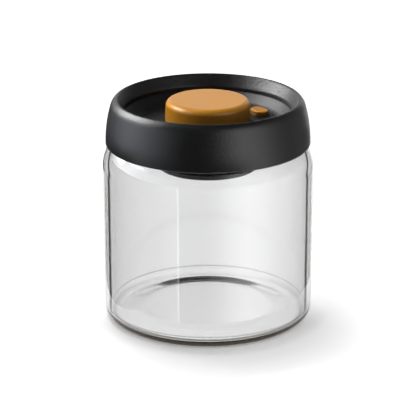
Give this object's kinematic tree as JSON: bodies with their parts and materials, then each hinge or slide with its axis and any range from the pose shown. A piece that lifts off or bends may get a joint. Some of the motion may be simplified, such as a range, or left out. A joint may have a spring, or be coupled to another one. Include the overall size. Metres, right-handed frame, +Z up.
{
  "type": "vacuum seal canister",
  "caption": "Clear glass storage canister with a black lid: a push-pump button in the lid's dish draws the air out and a small release button lets it back in.",
  "frame": {"origin": "middle of the jar's foot, on the surface that it stands on", "axes": "+Z up along the jar's axis, +X towards the side of the release button, -Y towards the viewer"},
  "size_m": [0.105, 0.105, 0.1127],
  "materials": {
    "clear_glass": "clear, polished",
    "black_textured_plastic": "fine even texture",
    "black_gloss_plastic": "glossy",
    "black_inner_plastic": "satin",
    "amber_plastic": "satin, slightly pearly",
    "silicone": "satin, translucent grey",
    "spring_steel": "bright drawn wire",
    "screw_steel": "bright",
    "filter_gauze": "fine woven wire"
  },
  "bodies": {
    "jar": {"glass_jar": "clear_glass"},
    "lid": {"lid_ring": "black_textured_plastic", "lid_deck": "black_textured_plastic", "lid_plug": "black_inner_plastic", "jar_gasket": "silicone", "pump_barrel": "black_gloss_plastic", "barrel_gasket": "silicone", "filter_cap": "black_gloss_plastic", "filter_mesh": "filter_gauze", "intake_valve": "silicone", "pump_spring": "spring_steel", "release_bush": "black_inner_plastic", "release_spring": "spring_steel", "lid_screws": "screw_steel", "screw_plugs": "silicone"},
    "pump": {"pump_button": "amber_plastic", "piston": "black_inner_plastic", "piston_seal": "silicone", "piston_screw": "screw_steel"},
    "release": {"release_button": "amber_plastic", "release_stem": "screw_steel", "release_seal": "silicone", "release_clip": "screw_steel"}
  },
  "joints": [
    {"name": "lid_lift", "type": "slide", "parent": "jar", "child": "lid", "axis": [0, 0, 1], "range_m": [0, 0.06]},
    {"name": "pump_press", "type": "slide", "parent": "lid", "child": "pump", "axis": [0, 0, -1], "range_m": [0, 0.01], "stiffness_N_per_m": 600, "springref_m": -0.008, "deforming": ["pump_spring"]},
    {"name": "release_press", "type": "slide", "parent": "lid", "child": "release", "axis": [0, 0, -1], "range_m": [0, 0.002], "stiffness_N_per_m": 900, "springref_m": -0.003, "deforming": ["release_spring"]}
  ]
}
